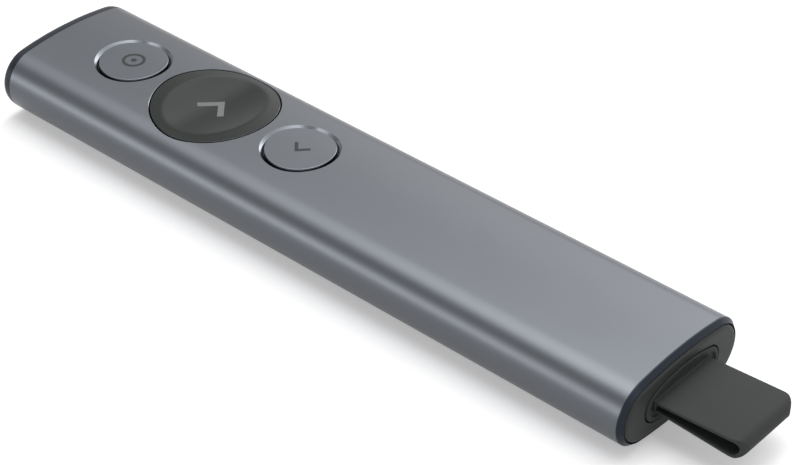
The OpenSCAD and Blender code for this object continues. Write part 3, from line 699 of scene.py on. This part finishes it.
FLOOR_SIZE, FLOOR_GLOW = 6.0, 0.35
bpy.ops.mesh.primitive_plane_add(size=FLOOR_SIZE, location=(0, 0, 0))
floor = bpy.context.object
floor.name = "floor"
floor_mat = bpy.data.materials.new("floor_white")
floor_mat.use_nodes = True
ft = floor_mat.node_tree
ft.nodes.clear()
f_out = ft.nodes.new("ShaderNodeOutputMaterial")
pale = ft.nodes.new("ShaderNodeBsdfDiffuse")
pale.inputs["Color"].default_value = (0.78, 0.78, 0.79, 1)
glow = ft.nodes.new("ShaderNodeEmission")
glow.inputs["Color"].default_value = (0.98, 0.98, 0.98, 1)
glow.inputs["Strength"].default_value = FLOOR_GLOW
both = ft.nodes.new("ShaderNodeAddShader")
ft.links.new(pale.outputs[0], both.inputs[0])
ft.links.new(glow.outputs[0], both.inputs[1])
background_or_plain = ft.nodes.new("ShaderNodeMixShader")
ft.links.new(background_rays(ft), background_or_plain.inputs[0])
ft.links.new(pale.outputs[0], background_or_plain.inputs[1])
ft.links.new(both.outputs[0], background_or_plain.inputs[2])
ft.links.new(background_or_plain.outputs[0], f_out.inputs["Surface"])
floor.data.materials.append(floor_mat)


# ---------------------------------------------------------------- studio light, as a soft sky of panels
class Sky:
    """Builds the world's brightness from a direction, with plain math nodes."""

    def __init__(self):
        world = bpy.data.worlds.new("studio")
        bpy.context.scene.world = world
        world.use_nodes = True
        self.tree = world.node_tree
        self.tree.nodes.clear()

    def math(self, kind, *values):
        node = self.tree.nodes.new("ShaderNodeMath")
        node.operation = kind
        for socket, value in zip(node.inputs, values):
            if isinstance(value, (int, float)):
                socket.default_value = value
            else:
                self.tree.links.new(value, socket)
        return node.outputs[0]

    def curve(self, value, points):
        """A smooth curve through (degrees, brightness) points."""
        node = self.tree.nodes.new("ShaderNodeFloatCurve")
        line = node.mapping.curves[0]
        low, high, peak = -180.0, 180.0, 4.0
        node.mapping.use_clip = False
        spots = [((d - low) / (high - low), v / peak) for d, v in points]
        while len(line.points) < len(spots):
            line.points.new(0.5, 0.5)
        for point, (px, py) in zip(line.points, spots):
            point.location = (px, py)
            point.handle_type = "AUTO_CLAMPED"
        node.mapping.update()
        scaled = self.math("DIVIDE", self.math("SUBTRACT", value, low), high - low)
        self.tree.links.new(scaled, node.inputs["Value"])
        return self.math("MULTIPLY", node.outputs["Value"], peak)


# The light by direction, as (degrees, brightness) points. side is the angle from overhead towards -X, tilt the
# angle towards +Y. Each panel is a curve over side times its fall over tilt. SHIFT turns the overhead panel with
# the tilt, STRIP_SLANT leans the strip, and PANEL_GLOSS is how much brighter the panels are in metal than on the
# plastics.
OVERHEAD = [(-180, 0.15), (-125, 0.4), (-104, 0.4), (-90, 0.35), (-79, 0.6), (-71, 1.1), (-62, 1.32), (-45, 1.2),
            (-36, 1.17), (-20, 1.5), (-8, 1.84), (0, 2.02), (10, 2.18), (19, 2.15), (23, 1.95), (29, 0.8), (35, 0.15),
            (42, 0.0), (180, 0.0)]
TILT_FALL = [(-180, 0.8), (-60, 0.75), (-46, 0.5), (-36, 0.42), (-30, 0.5), (-23, 0.85), (-12, 1.15), (-2, 1.8),
             (5, 2.8), (11, 2.8), (18, 1.45), (25, 1.0), (32, 0.95), (41, 0.42), (48, 0.42), (58, 0.45), (66, 0.35),
             (80, 0.15), (180, 0.1)]
SHIFT = [(-180, 10), (-20, 11), (-8, 14), (4, 16), (14, 6), (20, 0), (26, -2), (32, 0), (41, 1), (50, 8), (64, 20),
         (180, 20)]
STRIP = [(-180, 0.0), (54, 0.0), (64, 0.35), (74, 1.75), (84, 2.1), (91, 1.28), (98, 0.5), (106, 0.2), (118, 0.09),
         (150, 0.05), (180, 0.05)]
STRIP_FALL = [(-180, 0.3), (10, 0.7), (26, 0.9), (32, 1.0), (41, 1.1), (60, 1.0), (180, 0.5)]
STRIP_SLANT, STRIP_TILT = 0.2, 31.7
FILL = [(-180, 0.0), (20, 0.0), (34, 0.42), (46, 0.40), (60, 0.25), (80, 0.1), (110, 0.08), (180, 0.05)]
FILL_FALL = [(-180, 0.1), (5, 0.15), (18, 0.9), (28, 1.0), (44, 1.0), (56, 0.2), (180, 0.1)]
PANEL_GLOSS = 2.3


def build_sky():
    """Three panels of light for all that they fall on, and the white background with the panels in metal."""
    sky = Sky()
    coord = sky.tree.nodes.new("ShaderNodeTexCoord")
    split = sky.tree.nodes.new("ShaderNodeSeparateXYZ")
    sky.tree.links.new(coord.outputs["Generated"], split.inputs[0])
    x, y, z = split.outputs
    side = sky.math("MULTIPLY", sky.math("ARCTAN2", sky.math("MULTIPLY", x, -1.0), z), 180 / math.pi)
    tilt = sky.math("MULTIPLY", sky.math("ARCSINE", y), 180 / math.pi)
    fall = sky.curve(tilt, TILT_FALL)
    overhead = sky.math("MULTIPLY", sky.curve(sky.math("ADD", side, sky.curve(tilt, SHIFT)), OVERHEAD), fall)
    lean = sky.math("MULTIPLY", sky.math("SUBTRACT", tilt, STRIP_TILT), STRIP_SLANT)
    strip_side = sky.math("SUBTRACT", side, lean)
    strip = sky.math("MULTIPLY", sky.curve(strip_side, STRIP), sky.curve(tilt, STRIP_FALL))
    fill = sky.math("MULTIPLY", sky.curve(side, FILL), sky.curve(tilt, FILL_FALL))
    light = sky.math("ADD", sky.math("ADD", overhead, strip), fill)
    lamps, backdrop = (sky.tree.nodes.new("ShaderNodeBackground") for _ in range(2))
    sky.tree.links.new(light, lamps.inputs["Strength"])
    path = sky.tree.nodes.new("ShaderNodeLightPath")
    in_metal = sky.math("MULTIPLY", sky.math("MULTIPLY", light, PANEL_GLOSS), path.outputs["Is Glossy Ray"])
    sky.tree.links.new(sky.math("MAXIMUM", in_metal, 1.0), backdrop.inputs["Strength"])
    mix = sky.tree.nodes.new("ShaderNodeMixShader")
    out = sky.tree.nodes.new("ShaderNodeOutputWorld")
    sky.tree.links.new(background_rays(sky.tree), mix.inputs[0])
    sky.tree.links.new(lamps.outputs[0], mix.inputs[1])
    sky.tree.links.new(backdrop.outputs[0], mix.inputs[2])
    sky.tree.links.new(mix.outputs[0], out.inputs["Surface"])


build_sky()

# ---------------------------------------------------------------- camera, fitted to the photograph
AZ, EL, ROLL = math.radians(-49.03), math.radians(36.62), math.radians(0.77)
DISTANCE, FOCAL_PX = 345.46, 2212.0
TARGET = Vector((4.141, -0.735, 2.031))
FRAME_W, SENSOR_W = 800, 36.0
# the camera's axes in the model's frame, turned by the roll
back = Vector((math.sin(AZ) * math.cos(EL), -math.cos(AZ) * math.cos(EL), math.sin(EL)))
right = (-back).cross(Vector((0, 0, 1))).normalized()
up = right.cross(-back)
cam_right = math.cos(ROLL) * right + math.sin(ROLL) * up
cam_up = -math.sin(ROLL) * right + math.cos(ROLL) * up
camera_data = bpy.data.cameras.new("camera")
camera = bpy.data.objects.new("camera", camera_data)
bpy.context.scene.collection.objects.link(camera)
bpy.context.scene.camera = camera
camera_data.sensor_width = SENSOR_W
camera_data.lens = FOCAL_PX / FRAME_W * SENSOR_W
camera_data.clip_start = 0.01
camera_data.clip_end = 20.0
turn = Matrix((cam_right, cam_up, back)).transposed().to_4x4()
camera.matrix_world = Matrix.Translation((TARGET + back * DISTANCE) * MM) @ turn

bpy.context.scene.view_settings.view_transform = "Standard"
